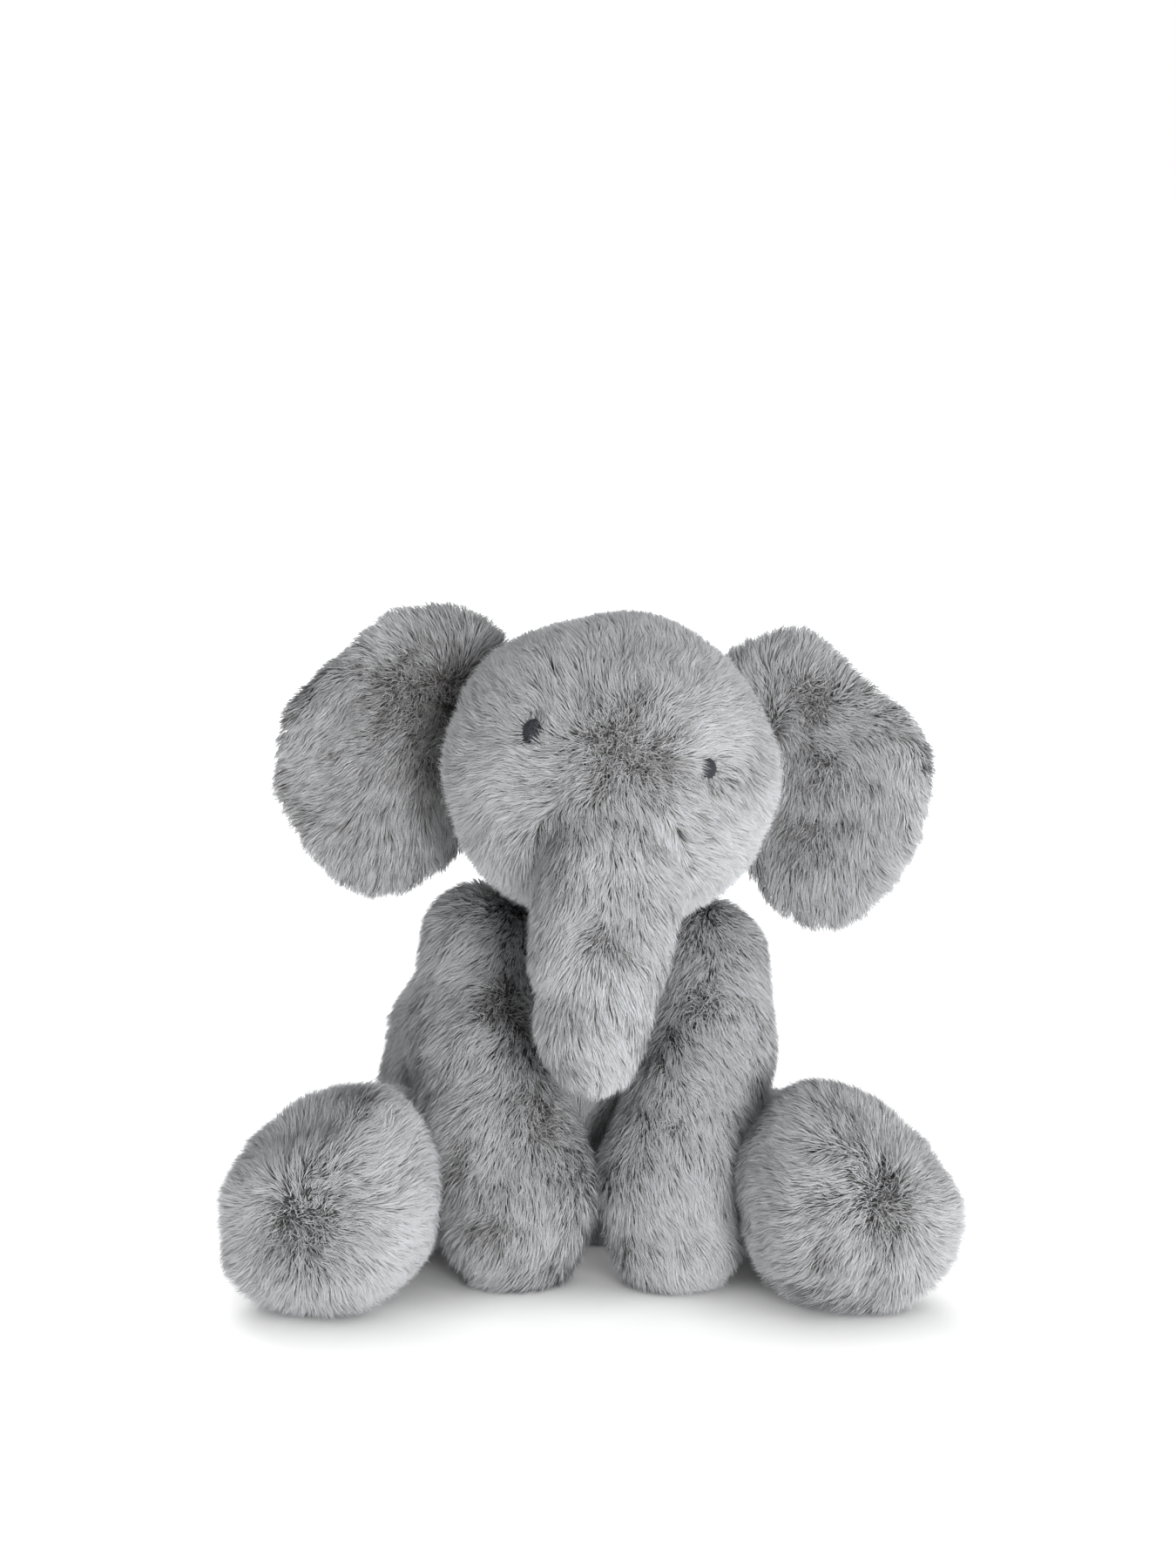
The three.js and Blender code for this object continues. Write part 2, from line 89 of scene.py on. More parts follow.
SHRINK = 1 * MM              # a skin starts this much inside its CAD solid, and swells
SWELL_CAP = 7 * MM           # the furthest that stuffing moves a point
STUFFING_FRAMES = 20
STUFFING_PRESSURE = 4
LUMPS = 0.9 * MM             # soft unevenness of the filling
LUMP_SIZE = 45 * MM
RING_REACH = 40 * MM         # a ring changes nothing further than this from its middle

DENSITY = 3.1e6              # strands on a square metre
SEAT_HEIGHT = 5 * MM         # faces below this that look down lie on the ground
SEAT_SHARE = 0.3             # of the strands, on those faces
STRAND_WIDTH = 0.34 * MM     # of a few fibres that lie together, at their root
FLOOR_GAP = 0.3 * MM
SMALL_TUFT = 1.5 * MM        # strands whose roots share a cell this wide lean together
LARGE_TUFT = 5 * MM
SMALL_PULL = 0.34            # how far they lean, as a share of the way to the middle
LARGE_PULL = 0.08
LOCK_SHADE = 0.6             # of most locks, from 0, dark, to 1, pale
SEAM_REACH = 5 * MM          # the pile parts this far on each side of a seam
CONTACT_STUB = 2.5 * MM      # pile left where two skins press together
BURIED = 9 * MM              # no pile grows deeper than this inside another skin
EYES = {"eye_right": (3.9, 5.2), "eye_left": (3.2, 3.9)}    # half width and height, in mm
EYE_BARE = 0.6               # no pile nearer an eye's centre than this share of its size

VIEW_TILT = 12               # the camera looks down at the toy by this much
VIEW_DISTANCE = 1.7
VIEW_CENTRE = Vector((-0.0004, 0.001, 0.14))
VIEW_RAISE = 2.2             # it is then turned up, so that the toy is low in the frame
VIEW_LENS = 91.3
FLOOR_SHADE = 42 * MM        # the floor's glow is dimmed this near the toy: a painted contact shadow
FLOOR_REACH = 30             # from the toy to the floor's edges

DOWN = (0, 0, -1)
UP = (0, 0, 1)

RECORD = frame["record"]
BODY_NODES = RECORD["behaviour"]["bodies"]
SLOT_OF = {row["node"]: row["material_slot"] for row in RECORD["subparts"]}
PIVOT = {joint["name"]: np.array(joint["pos_m"]) for joint in frame["joints"]}


# --------------------------------------------------------------- small tools

def unit_rows(vectors):
    """Each row as a unit vector."""
    length = np.linalg.norm(vectors, axis=1, keepdims=True)
    return vectors / np.maximum(length, 1e-9)


def flattened(vectors, normals):
    """Each row without its part along the normal."""
    return vectors - (vectors * normals).sum(1, keepdims=True) * normals


def fade(distance, reach):
    """1 at no distance, falling smoothly to 0."""
    return np.exp(-((distance / reach) ** 2))


def wave_noise(points, wavelength, seed, waves=12):
    """A smooth random field, mostly between -2 and 2, with features of that size."""
    rng = np.random.default_rng(SEED * 1000 + seed)
    directions = unit_rows(rng.normal(size=(waves, 3)))
    numbers = rng.uniform(0.7, 1.4, waves) * 2 * math.pi / wavelength
    phases = rng.uniform(0, 2 * math.pi, waves)
    total = np.sin((points @ directions.T) * numbers + phases).sum(1)
    return total / math.sqrt(waves / 2)


def coordinates(mesh):
    points = np.zeros(len(mesh.vertices) * 3, np.float32)
    mesh.vertices.foreach_get("co", points)
    return points.reshape(-1, 3).astype(float)


def vertex_normals(mesh):
    normals = np.zeros(len(mesh.vertices) * 3, np.float32)
    mesh.vertex_normals.foreach_get("vector", normals)
    return normals.reshape(-1, 3).astype(float)


def set_coordinates(mesh, points):
    mesh.vertices.foreach_set("co", points.astype(np.float32).ravel())
    mesh.update()


def tree_of(mesh):
    return BVHTree.FromPolygons(
        coordinates(mesh).tolist(),
        [tuple(face.vertices) for face in mesh.polygons],
    )


def nearest(tree, points):
    """For each point: the closest point of the surface, its normal, and the distance."""
    found = [tree.find_nearest(point) for point in points.tolist()]
    places = np.array([hit[0][:] for hit in found])
    normals = np.array([hit[1][:] for hit in found])
    return places, normals, np.array([hit[3] for hit in found])


def new_object(name, mesh):
    obj = bpy.data.objects.new(name, mesh)
    bpy.context.scene.collection.objects.link(obj)
    return obj


def box_centre(node):
    low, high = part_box(node)
    return np.array((low + high) / 2)


# ----------------------------------------------------------------- materials

def new_material(name):
    material = bpy.data.materials.new(name)
    material.use_nodes = True
    tree = material.node_tree
    return material, tree, tree.nodes["Principled BSDF"]


def ramp(tree, source, stops):
    """A colour ramp fed by a socket, with (place, colour) stops."""
    node = tree.nodes.new("ShaderNodeValToRGB")
    elements = node.color_ramp.elements
    while len(elements) < len(stops):
        elements.new(0.5)
    for element, (place, colour) in zip(elements, stops):
        element.position = place
        element.color = (*colour, 1)
    tree.links.new(source, node.inputs["Fac"])
    return node.outputs["Color"]


def noise(tree, scale, detail=3):
    """Fractal noise over the object's own space."""
    place = tree.nodes.new("ShaderNodeTexCoord")
    node = tree.nodes.new("ShaderNodeTexNoise")
    node.inputs["Scale"].default_value = scale
    node.inputs["Detail"].default_value = detail
    tree.links.new(place.outputs["Object"], node.inputs["Vector"])
    return node.outputs["Fac"]


def multiplied(tree, first, second):
    node = tree.nodes.new("ShaderNodeMix")
    node.data_type = "RGBA"
    node.blend_type = "MULTIPLY"
    node.inputs["Factor"].default_value = 1
    tree.links.new(first, node.inputs["A"])
    tree.links.new(second, node.inputs["B"])
    return node.outputs["Result"]


def pile_material():
    """Fur: dark at the root and pale at the tip, which paints the shade deep in the pile, and
    each lock in its own shade.

    The pile's UV map holds the lock's shade across and the place along it upwards; the lock's
    shade carries painted light and shade as well as its own tone.
    """
    material, tree, shader = new_material("plush_pile")
    uv = tree.nodes.new("ShaderNodeUVMap")
    uv.uv_map = "OFBake"
    split = tree.nodes.new("ShaderNodeSeparateXYZ")
    tree.links.new(uv.outputs["UV"], split.inputs["Vector"])
    # darker towards the root: painted shade deep in the pile, under the tips
    along_lock = ramp(tree, split.outputs["Y"], [
        (0.0, (0.15, 0.141, 0.133)),
        (0.3, (0.37, 0.367, 0.365)),
        (0.6, (0.595, 0.606, 0.62)),
        (1.0, (0.69, 0.708, 0.73)),
    ])
    lock_shade = ramp(tree, split.outputs["X"], [
        (0.0, (0.4, 0.385, 0.37)),
        (0.5, (0.88, 0.88, 0.88)),
        (1.0, (1.0, 1.0, 1.0)),
    ])
    tree.links.new(multiplied(tree, along_lock, lock_shade), shader.inputs["Base Color"])
    shader.inputs["Roughness"].default_value = 0.72
    shader.inputs["Specular IOR Level"].default_value = 0.25
    return material


def backing_material():
    """The knitted ground that the pile stands on: dark grey, with a fine uneven knit."""
    material, tree, shader = new_material("plush_backing")
    colour = ramp(tree, noise(tree, 900), [
        (0.3, (0.075, 0.072, 0.07)),
        (0.7, (0.14, 0.137, 0.134)),
    ])
    tree.links.new(colour, shader.inputs["Base Color"])
    shader.inputs["Roughness"].default_value = 0.95
    bump = tree.nodes.new("ShaderNodeBump")
    bump.inputs["Strength"].default_value = 0.4
    bump.inputs["Distance"].default_value = 0.4 * MM
    tree.links.new(noise(tree, 1500), bump.inputs["Height"])
    tree.links.new(bump.outputs["Normal"], shader.inputs["Normal"])
    return material


def thread_material():
    """Satin-stitched eye thread: charcoal with a cool sheen, twisted and a little uneven."""
    material, tree, shader = new_material("eye_thread")
    colour = ramp(tree, noise(tree, 1400, detail=4), [
        (0.3, (0.016, 0.018, 0.022)),
        (0.7, (0.06, 0.066, 0.075)),
    ])
    tree.links.new(colour, shader.inputs["Base Color"])
    shader.inputs["Roughness"].default_value = 0.6
    shader.inputs["Specular IOR Level"].default_value = 0.3
    bump = tree.nodes.new("ShaderNodeBump")
    bump.inputs["Strength"].default_value = 0.5
    bump.inputs["Distance"].default_value = 0.2 * MM
    tree.links.new(noise(tree, 3200), bump.inputs["Height"])
    tree.links.new(bump.outputs["Normal"], shader.inputs["Normal"])
    return material


PILE_MATERIAL = pile_material()
BACKING_MATERIAL = backing_material()
THREAD_MATERIAL = thread_material()


# --------------------------------------------------------------------- skins

@dataclass
class Coat:
    """How one body's skin is stuffed, how its pile lies, and which body it is sewn to."""

    body: str
    flow: list                      # (weight, field) pairs that the pile is combed along
    parent: str = ""                # the body that the skin is sewn to
    bend: tuple = ()                # start and end of the stretch between the two bodies; not used
    partings: list = field(default_factory=list)   # (node, across, up, radius in mm): the pile parts there, with painted shade
    bulges: list = field(default_factory=list)     # (node, across, up, radius, height in mm)
    rings: list = field(default_factory=list)      # (place, direction, width, height in mm)
    pulls: list = field(default_factory=list)      # (node, across, up, radius, vector in mm)
    spread: float = 0               # how far the rim of a flat skin moves out, in mm
    seam: float = 0.2               # how far the pile opens along the seams
    groove: float = 0.8             # depth of the seams, in mm
    fill: float = 0.7               # how full the skin is padded; not used
    lay: float = 1.15               # how flat the pile lies
    swirl: float = 1                # how much its direction wanders
    pile: float = 10                # length of the fur, in mm
    tone: float = 0                 # how much paler the fur is than most, in lock shade: painted light and shade, laid on whole bodies
    voxel: float = 4                # mesh size of the skin before it is stuffed, in mm

    @property
    def panels(self):
        """The body's sewn panels, or its one solid where it has none of its own."""
        nodes = BODY_NODES[self.body]
        return [node for node in nodes if SLOT_OF[node] == "plush"] or nodes

    @property
    def filling(self):
        kinds = ("filling", "pellets")
        nodes = [node for node in BODY_NODES[self.body] if SLOT_OF[node] in kinds]
        return [node for node in nodes if node not in self.panels]


def joined_mesh(name, nodes):
    """A copy of some CAD nodes as one mesh."""
    points, faces = [], []
    for node in nodes:
        mesh = frame["nodes"][node].data
        first = len(points)
        points.extend(vertex.co[:] for vertex in mesh.vertices)
        faces.extend([first + i for i in face.vertices] for face in mesh.polygons)
    mesh = bpy.data.meshes.new(name)
    mesh.from_pydata(points, [], faces)
    return mesh


def apply_modifiers(obj):
    """Bakes the object's modifiers into its mesh."""
    graph = bpy.context.evaluated_depsgraph_get()
    finished = bpy.data.meshes.new_from_object(obj.evaluated_get(graph))
    obj.modifiers.clear()
    obj.data = finished


def keep_outer_shell(mesh):
    """Removes what a remesh leaves inside: every loose part but the largest."""
    edges = np.zeros(len(mesh.edges) * 2, np.int32)
    mesh.edges.foreach_get("vertices", edges)
    edges = edges.reshape(-1, 2)
    label = np.arange(len(mesh.vertices))
    while True:
        low = np.minimum(label[edges[:, 0]], label[edges[:, 1]])
        new = label.copy()
        np.minimum.at(new, edges[:, 0], low)
        np.minimum.at(new, edges[:, 1], low)
        new = new[new]
        if np.array_equal(new, label):
            break
        label = new
    names, sizes = np.unique(label, return_counts=True)
    kept = label == names[sizes.argmax()]
    renumbered = np.cumsum(kept) - 1
    points = coordinates(mesh)[kept]
    faces = [
        [int(renumbered[i]) for i in face.vertices]
        for face in mesh.polygons
        if kept[face.vertices[0]]
    ]
    mesh.clear_geometry()
    mesh.from_pydata(points.tolist(), [], faces)
    mesh.update()


def relax(mesh, rounds):
    """Evens out a mesh: each point moves half way to the middle of its neighbours."""
    edges = np.zeros(len(mesh.edges) * 2, np.int32)
    mesh.edges.foreach_get("vertices", edges)
    a, b = edges.reshape(-1, 2).T
    points = coordinates(mesh)
    count = np.bincount(np.concatenate([a, b]), minlength=len(points))[:, None]
    for _ in range(rounds):
        total = np.zeros_like(points)
        np.add.at(total, a, points[b])
        np.add.at(total, b, points[a])
        points = 0.5 * points + 0.5 * total / np.maximum(count, 1)
    set_coordinates(mesh, points)


def stuff(obj):
    """Swells a skin with Blender's Cloth under pressure, and keeps each move under the cap."""
    before = coordinates(obj.data)
    cloth = obj.modifiers.new("stuffing", "CLOTH")
    cloth.settings.quality = 5
    cloth.settings.mass = 0.2
    cloth.settings.tension_stiffness = 12
    cloth.settings.compression_stiffness = 12
    cloth.settings.bending_stiffness = 0.4
    cloth.settings.use_pressure = True
    cloth.settings.uniform_pressure_force = STUFFING_PRESSURE
    cloth.settings.effector_weights.gravity = 0
    cloth.collision_settings.use_collision = False
    cloth.point_cache.frame_start = 1
    cloth.point_cache.frame_end = STUFFING_FRAMES
    for number in range(1, STUFFING_FRAMES + 1):
        bpy.context.scene.frame_set(number)
    apply_modifiers(obj)
    bpy.context.scene.frame_set(1)
    move = coordinates(obj.data) - before
    distance = np.linalg.norm(move, axis=1, keepdims=True)
    share = np.minimum(1, SWELL_CAP / np.maximum(distance, 1e-9))
    set_coordinates(obj.data, before + move * share)


def grown(mesh, amount):
    """Moves every point of a mesh out along its normal."""
    set_coordinates(mesh, coordinates(mesh) + vertex_normals(mesh) * np.reshape(amount, (-1, 1)))


def panel_distances(coat, points):
    """The nearest sewn panel to each point, and how far and which way the next one is."""
    trees = [tree_of(frame["nodes"][node].data) for node in coat.panels]
    found = [nearest(tree, points) for tree in trees]
    distance = np.stack([row[2] for row in found])
    order = np.argsort(distance, axis=0)
    if len(trees) == 1:
        return order[0], np.full(len(points), 1.0), np.zeros_like(points)
    column = np.arange(len(points))
    place = np.stack([row[0] for row in found])[order[1], column]
    return order[0], distance[order[1], column], points - place


def front_point(tree, node, across, up):
    """Where a skin's front meets a line through a spot of a node's box, seen from the face."""
    low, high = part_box(node)
    x = low.x + across * (high.x - low.x)
    z = low.z + up * (high.z - low.z)
    hit = tree.ray_cast((x, -1, z), (0, 1, 0))[0]
    return np.array(hit or tree.find_nearest((x, (low.y + high.y) / 2, z))[0])


def rim_share(mesh):
    """For each point of a flat skin, from 0 on its faces to 1 where it faces out at the rim."""
    points = coordinates(mesh)
    _, _, axes = np.linalg.svd(points - points.mean(0), full_matrices=False)
    return np.sqrt(np.clip(1 - (vertex_normals(mesh) @ axes[2]) ** 2, 0, 1))


def make_skin(coats):
    """One stuffed skin over some bodies that are sewn end to end."""
    nodes = [node for coat in coats for node in coat.panels + coat.filling]
    name = f"skin_{coats[0].body}"
    obj = new_object(name, joined_mesh(name, nodes))
    remesh = obj.modifiers.new("remesh", "REMESH")
    remesh.mode = "VOXEL"
    remesh.voxel_size = coats[0].voxel * MM
    apply_modifiers(obj)
    keep_outer_shell(obj.data)
    relax(obj.data, 6)
    grown(obj.data, -SHRINK)
    stuff(obj)
    relax(obj.data, 2)
    grown(obj.data, LUMPS * wave_noise(coordinates(obj.data), LUMP_SIZE, 1))
    for coat in coats:
        tree = tree_of(obj.data)
        for node, across, up, radius, height in coat.bulges:
            points = coordinates(obj.data)
            distance = np.linalg.norm(points - front_point(tree, node, across, up), axis=1)
            grown(obj.data, height * MM * fade(distance, radius * MM))
        if coat.spread:
            grown(obj.data, coat.spread * MM * rim_share(obj.data))
        for node, across, up, radius, vector in coat.pulls:
            points = coordinates(obj.data)
            distance = np.linalg.norm(points - front_point(tree, node, across, up), axis=1)
            pull = fade(distance, radius * MM)[:, None] * np.array(vector) * MM
            set_coordinates(obj.data, points + pull)
        for place, direction, width, height in coat.rings:
            from_place = coordinates(obj.data) - np.array(place)
            off_plane = from_place @ unit_rows(np.array([direction], float))[0]
            near = np.linalg.norm(from_place, axis=1) < RING_REACH
            grown(obj.data, near * height * MM * fade(off_plane, width * MM))
    subdivision = obj.modifiers.new("subdivision", "SUBSURF")
    subdivision.levels = subdivision.render_levels = 1
    apply_modifiers(obj)
    points = coordinates(obj.data)
    owner = nearest_body(coats, points)
    depth = np.zeros(len(points))
    for index, coat in enumerate(coats):
        _, seam_distance, _ = panel_distances(coat, points)
        depth += (owner == index) * coat.groove * MM * fade(seam_distance, SEAM_REACH)
    grown(obj.data, -depth)
    points = coordinates(obj.data)
    points[:, 2] = np.maximum(points[:, 2], FLOOR_GAP)
    set_coordinates(obj.data, points)
    obj.data.polygons.foreach_set("use_smooth", np.ones(len(obj.data.polygons), bool))
    obj.data.materials.clear()
    obj.data.materials.append(BACKING_MATERIAL)
    return obj


def nearest_body(coats, points):
    """The index of the coat whose body is nearest, for each point."""
    trees = [tree_of(joined_mesh("body", coat.panels)) for coat in coats]
    return np.stack([nearest(tree, points)[2] for tree in trees]).argmin(0)


def divided(obj, coats):
    """A skin over several bodies, cut into one skin for each."""
    if len(coats) == 1:
        return {coats[0].body: obj}
    points = coordinates(obj.data)
    faces = [tuple(face.vertices) for face in obj.data.polygons]
    middles = np.array([points[list(face)].mean(0) for face in faces])
    owner = nearest_body(coats, middles)
    parts = {}
    for index, coat in enumerate(coats):
        mesh = obj.data.copy()
        mesh.name = f"skin_{coat.body}"
        shape = bmesh.new()
        shape.from_mesh(mesh)
        shape.faces.ensure_lookup_table()
        others = [shape.faces[i] for i in np.flatnonzero(owner != index)]
        bmesh.ops.delete(shape, geom=others, context="FACES")
        shape.to_mesh(mesh)
        shape.free()
        parts[coat.body] = new_object(f"skin_{coat.body}_part", mesh)
    bpy.data.objects.remove(obj)
    for coat in coats:
        parts[coat.body].name = f"skin_{coat.body}"
    return parts


def close_holes(mesh):
    """Fills the openings that cutting a skin has left."""
    shape = bmesh.new()
    shape.from_mesh(mesh)
    rim = [edge for edge in shape.edges if edge.is_boundary]
    bmesh.ops.holes_fill(shape, edges=rim, sides=0)
    shape.to_mesh(mesh)
    shape.free()


# ---------------------------------------------------------------------- pile

def scatter(mesh, density, rng):
    """Random points spread evenly over a mesh, with smooth normals."""
    mesh.calc_loop_triangles()
    corners = np.zeros(len(mesh.loop_triangles) * 3, np.int32)
    mesh.loop_triangles.foreach_get("vertices", corners)
    corners = corners.reshape(-1, 3)
    points, normals = coordinates(mesh), vertex_normals(mesh)
    a, b, c = (points[corners[:, i]] for i in range(3))
    area = np.linalg.norm(np.cross(b - a, c - a), axis=1) / 2
    area[(a[:, 2] < SEAT_HEIGHT) & (normals[corners[:, 0], 2] < -0.75)] *= SEAT_SHARE
    count = int(area.sum() * density)
    chosen = rng.choice(len(area), count, p=area / area.sum())
    u, v = np.sqrt(rng.random(count)), rng.random(count)
    weights = np.stack([1 - u, u * (1 - v), u * v], axis=1)[:, :, None]
    roots = (points[corners[chosen]] * weights).sum(1)
    return roots, unit_rows((normals[corners[chosen]] * weights).sum(1))


def gather(points, mids, tips, cell, strength, seed):
    """Pulls the strands that start in one small cell together, tips most."""
    rng = np.random.default_rng(SEED * 100 + seed)
    wander = np.stack([wave_noise(points, cell * 7, seed + k) for k in range(3)], axis=1)
    cells = np.floor((points + wander * cell * 0.6) / cell).astype(np.int64)
    _, member = np.unique(cells, axis=0, return_inverse=True)
    member = member.ravel()
    size = np.bincount(member)
    middle = np.stack(
        [np.bincount(member, weights=tips[:, k]) / size for k in range(3)], axis=1
    )
    pull = (strength * rng.uniform(0.4, 1.3, len(size)))[member][:, None]
    shade = rng.normal(size=len(size))[member]
    tips = tips + np.minimum(pull, 0.9) * (middle[member] - tips)
    mids = mids + 0.4 * pull * (0.5 * (points + middle[member]) - mids)
    return mids, tips, shade


def combed(coat, points, normals, tree):
    """The way the pile lies at each point, as (direction along the skin, lay, openness)."""
    flow = flattened(sum(weight * lines(points) for weight, lines in coat.flow), normals)
    strength = np.minimum(1, 0.35 + 1.3 * np.linalg.norm(flow, axis=1))
    flow = unit_rows(flow)
    turn = 0.34 * wave_noise(points, 60 * MM, 31) + 0.22 * wave_noise(points, 17 * MM, 32)
    turn += 0.15 * wave_noise(points, 6 * MM, 35)
    turn *= coat.swirl * (1.8 - 0.8 * strength)
    flow = (
        flow * np.cos(turn)[:, None]
        + np.cross(normals, flow) * np.sin(turn)[:, None]
    )
    openness = 0.4 * np.clip(wave_noise(points, 42 * MM, 33) - 1.1, 0, 1)
    for node, across, up, radius in coat.partings:
        away_from = points - front_point(tree, node, across, up)
        ripple = 1 + 0.22 * wave_noise(points, 14 * MM, 34)
        near = fade(np.linalg.norm(away_from, axis=1) * ripple, radius * MM)
        outward = unit_rows(flattened(away_from, normals))
        flow = unit_rows(flow * (1 - 0.45 * near)[:, None] + outward * (0.45 * near)[:, None])
        openness = np.maximum(openness, near)
    return flow, coat.lay * strength * (1 - 0.85 * openness), openness


def ribbon_mesh(name, roots, mids, tips, normals, shade, rng):
    """Tapered two-step ribbons: a quad and a triangle for each strand."""
    count = len(roots)
    line = unit_rows(tips - roots)
    facing = unit_rows(flattened(normals, line) + 0.001)
    spin = rng.normal(0, 0.6, count)[:, None]
    facing = facing * np.cos(spin) + np.cross(line, facing) * np.sin(spin)
    side = unit_rows(np.cross(line, facing))
    width = STRAND_WIDTH * rng.uniform(0.7, 1.3, count)[:, None] / 2
    corners = np.stack([
        roots - side * width,
        roots + side * width,
        mids + side * width * 0.8,
        mids - side * width * 0.8,
        tips,
    ], axis=1)
    corners[:, :, 2] = np.maximum(corners[:, :, 2], FLOOR_GAP)
    soft = unit_rows(normals * 0.6 + facing * 0.4)
    shading = np.stack([
        unit_rows(soft - 0.5 * side),
        unit_rows(soft + 0.5 * side),
        unit_rows(soft + 0.5 * side),
        unit_rows(soft - 0.5 * side),
        soft,
    ], axis=1)
    base = np.arange(count)[:, None] * 5
    loops = (base + np.array([0, 1, 2, 3, 3, 2, 4])).ravel()
    starts = (np.arange(count)[:, None] * 7 + np.array([0, 4])).ravel()
    mesh = bpy.data.meshes.new(name)
    mesh.vertices.add(count * 5)
    mesh.vertices.foreach_set("co", corners.astype(np.float32).ravel())
    mesh.loops.add(len(loops))
    mesh.loops.foreach_set("vertex_index", loops.astype(np.int32))
    mesh.polygons.add(len(starts))
    mesh.polygons.foreach_set("loop_start", starts.astype(np.int32))
    mesh.update(calc_edges=True)
    mesh.polygons.foreach_set("use_smooth", np.ones(len(starts), bool))
    across = shade[:, None] + np.array([-1, 1, 1, -1, -1, 1, 0]) * 0.006
    upward = np.broadcast_to(np.array([0, 0, 0.5, 0.5, 0.5, 0.5, 1]), across.shape)
    uv = mesh.uv_layers.new(name="OFBake")
    uv.data.foreach_set("uv", np.stack([across, upward], axis=2).astype(np.float32).ravel())
    mesh.normals_split_custom_set_from_vertices(shading.reshape(-1, 3).tolist())
    mesh.materials.append(PILE_MATERIAL)
    return mesh


def clear_of_others(roots, mids, tips, others):
    """Shortens strands that would run into another skin, and drops those buried in one."""
    line = tips - roots
    length = np.linalg.norm(line, axis=1)
    hits = list(map(others.ray_cast, roots.tolist(), line.tolist()))
    reach = np.array([1.0 if hit[3] is None else hit[3] for hit in hits])
    faces = np.array([(0, 0, 0) if hit[1] is None else hit[1][:] for hit in hits])
    inside = (faces * line).sum(1) > 0
    share = np.minimum(1, np.maximum(CONTACT_STUB, reach) / length)[:, None]
    kept = ~inside | (reach < BURIED)
    return kept, roots + (mids - roots) * share, roots + line * share


def splayed(points, normals):
    """Turns what would run into the ground outwards along it."""
    sunk = np.maximum(FLOOR_GAP - points[:, 2:], 0)
    level = unit_rows(normals * np.array([1, 1, 0]))
    return points + sunk * (level - np.array(DOWN))


def clear_eyes(roots, flow, length):
    """Combs the pile away from the eyes, shorter towards them, and bare under them."""
    bare = np.zeros(len(roots), bool)
    for node, half_sizes in EYES.items():
        radius = EYE_BARE * max(half_sizes) * MM
        away_from = roots - box_centre(node)
        distance = np.linalg.norm(away_from, axis=1)
        near = 0.7 * fade(np.maximum(distance - radius, 0), 5 * MM)[:, None]
        flow = unit_rows(flow * (1 - near) + unit_rows(away_from) * near)
        length = length * (1 - 0.6 * near[:, 0])
        bare |= distance < radius
    return bare, flow, length


def grow_pile(coat, skin, others, number):
    """The pile of one body, one piece for each sewn panel."""
    rng = np.random.default_rng(SEED + number)
    density = DENSITY * 1
    roots, normals = scatter(skin.data, density, rng)
    tree = tree_of(skin.data)
    owner, seam_distance, from_seam = panel_distances(coat, roots)
    flow, lay, openness = combed(coat, roots, normals, tree)
    seam = coat.seam * fade(seam_distance, SEAM_REACH)
    flow = flow + unit_rows(flattened(from_seam, normals)) * seam[:, None] * 1.5
    length = coat.pile * MM * np.clip(rng.normal(1, 0.12, len(roots)), 0.6, 1.3)
    length *= (1 - 0.3 * seam) * (1 - 0.12 * openness)
    bare = np.zeros(len(roots), bool)
    if coat.body == "head":
        bare, flow, length = clear_eyes(roots, flow, length)
    scruff = rng.normal(0, 0.15, (len(roots), 3)) * (1 + 1.2 * openness)[:, None]
    first = unit_rows(normals + 0.45 * lay[:, None] * flow + scruff)
    sag = np.array(DOWN) * 0.18
    second = unit_rows(0.62 * normals + lay[:, None] * flow + scruff * 1.4 + sag)
    mids = roots + first * length[:, None] * 0.5
    tips = mids + second * length[:, None] * 0.5
    mids, tips, tuft = gather(roots, mids, tips, LARGE_TUFT, LARGE_PULL, 60)
    mids, tips, lock = gather(roots, mids, tips, SMALL_TUFT, SMALL_PULL, 70)
    kept, mids, tips = clear_of_others(roots, mids, tips, others)
    mids, tips = splayed(mids, normals), splayed(tips, normals)
    # the lock's shade: its own random tone, with the body's painted light and shade added
    shade = LOCK_SHADE + coat.tone + 0.15 * rng.normal(size=len(roots))
    shade = shade + 0.12 * lock + 0.05 * tuft
    # painted shade: locks darker where the pile parts, standing for the shade in the gaps
    shade += 0.05 * wave_noise(roots, 40 * MM, 41) - 0.36 * openness
    shade = np.clip(shade, 0.02, 0.98)
    kept &= ~bare
    pieces = []
    for index, node in enumerate(coat.panels):
        mine = kept & (owner == index)
        name = f"pile_{node}"
        mesh = ribbon_mesh(
            name, roots[mine], mids[mine], tips[mine], normals[mine], shade[mine], rng
        )
        piece = new_object(name, mesh)
        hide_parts(node)
        pieces.append(piece)
    return pieces


# --------------------------------------------------------------- flow fields

def along(direction):
    unit = np.array(direction) / np.linalg.norm(direction)
    return lambda points: np.broadcast_to(unit, points.shape)


def away(point):
    return lambda points: unit_rows(points - np.array(point))


def beyond(place, direction, reach, lie):
    """Nothing before a plane, growing over a reach in mm to a constant direction past it."""
    unit = np.array(direction) / np.linalg.norm(direction)

    def lines(points):
        past = np.clip((points - np.array(place)) @ unit / (reach * MM), 0, 1)
        return past[:, None] * np.array(lie)

    return lines


def on_box(node, across, deep, up):
    """A point of a node's box, by its share of each side."""
    low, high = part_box(node)
    share = Vector((across, deep, up))
    return np.array([low[i] + share[i] * (high[i] - low[i]) for i in range(3)])


def beside(pivot, direction, distance):
    return tuple(np.array(pivot) + np.array(direction) * distance * MM)


